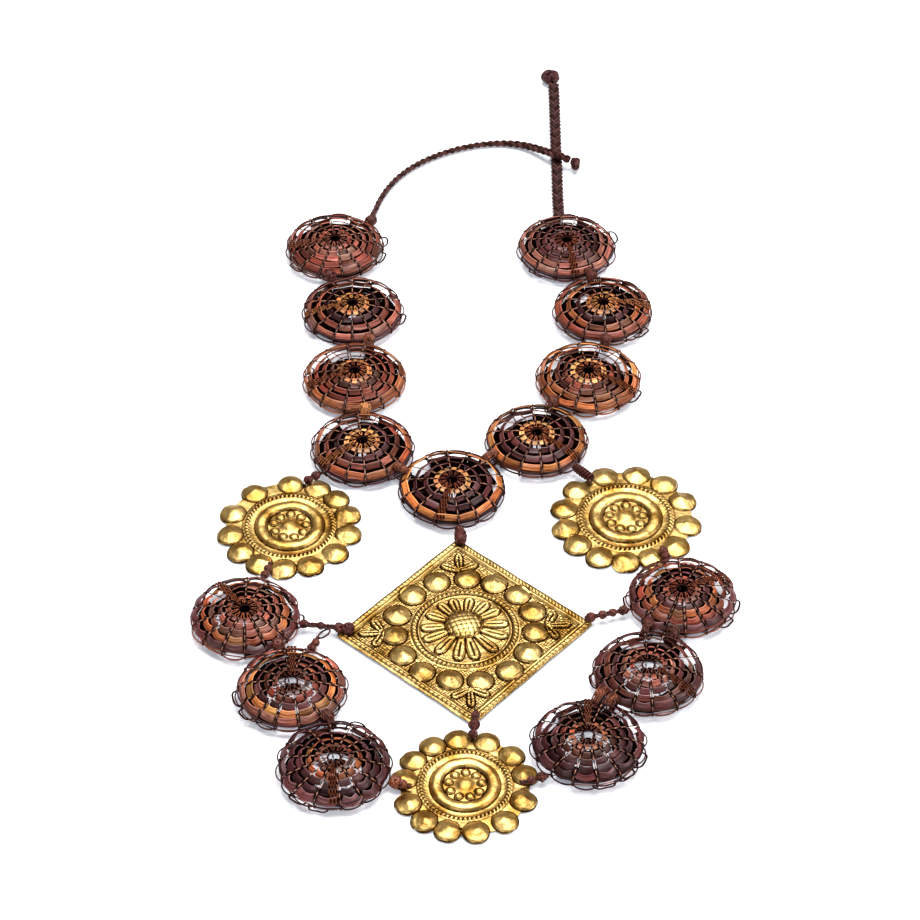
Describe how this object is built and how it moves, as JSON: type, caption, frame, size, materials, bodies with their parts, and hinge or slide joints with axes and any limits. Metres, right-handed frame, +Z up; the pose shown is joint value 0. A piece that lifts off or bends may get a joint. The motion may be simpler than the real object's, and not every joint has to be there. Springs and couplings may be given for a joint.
{
  "type": "bib necklace",
  "caption": "Bib necklace of round openwork medallions woven from flat fibre, tied to embossed brass rosettes and a square brass plate, closed by two braided cords.",
  "frame": {"origin": "middle of the bib's footprint, without its cords, on the surface it lies on", "axes": "+Z up from the surface, +Y from the bottom rosette towards the nape, +X to the viewer's right"},
  "size_m": [0.194, 0.4274, 0.0088],
  "materials": {
    "brass": "hand-beaten brass sheet with a dark patina in its recesses",
    "fibre_brown": "flat woven fibre strips with lengthwise grain, reddish brown",
    "fibre_orange": "flat woven fibre strips with lengthwise grain, orange brown",
    "fibre_purple": "flat woven fibre strips with lengthwise grain, purple brown",
    "tie_fibre": "twisted and braided fibre cord, dark brown"
  },
  "bodies": {
    "root": {"medallion_centre": "fibre_brown", "medallion_left_4": "fibre_brown", "medallion_left_3": "fibre_orange", "medallion_left_2": "fibre_orange", "medallion_left_1": "fibre_brown", "medallion_right_4": "fibre_brown", "medallion_right_3": "fibre_orange", "medallion_right_2": "fibre_orange", "medallion_right_1": "fibre_brown", "medallion_outer_left_1": "fibre_brown", "medallion_outer_left_2": "fibre_brown", "medallion_outer_left_3": "fibre_purple", "medallion_outer_right_1": "fibre_brown", "medallion_outer_right_2": "fibre_brown", "medallion_outer_right_3": "fibre_purple", "rosette_left": "brass", "rosette_right": "brass", "rosette_bottom": "brass", "square_plate": "brass", "knot_left_1_2": "tie_fibre", "knot_left_2_3": "tie_fibre", "knot_left_3_4": "tie_fibre", "knot_left_4_centre": "tie_fibre", "knot_centre_right_4": "tie_fibre", "knot_right_4_3": "tie_fibre", "knot_right_3_2": "tie_fibre", "knot_right_2_1": "tie_fibre", "knot_outer_left_1_2": "tie_fibre", "knot_outer_left_2_3": "tie_fibre", "knot_outer_right_1_2": "tie_fibre", "knot_outer_right_1_2_b": "tie_fibre", "knot_outer_right_2_3": "tie_fibre", "knot_outer_right_2_3_b": "tie_fibre", "tie_left_rosette_top": "tie_fibre", "tie_right_rosette_coil": "tie_fibre", "tie_left_rosette_bottom": "tie_fibre", "tie_right_rosette_bottom": "tie_fibre", "tie_bottom_rosette_left": "tie_fibre", "tie_bottom_rosette_right": "tie_fibre", "tie_plate_top": "tie_fibre", "tie_plate_right": "tie_fibre", "tie_plate_left": "tie_fibre", "tie_plate_bottom": "tie_fibre", "tie_plate_left_loop": "tie_fibre", "knot_cord_root": "tie_fibre", "left_cord": "tie_fibre", "left_cord_knot": "tie_fibre", "right_cord": "tie_fibre", "right_cord_knot": "tie_fibre"}
  },
  "joints": []
}
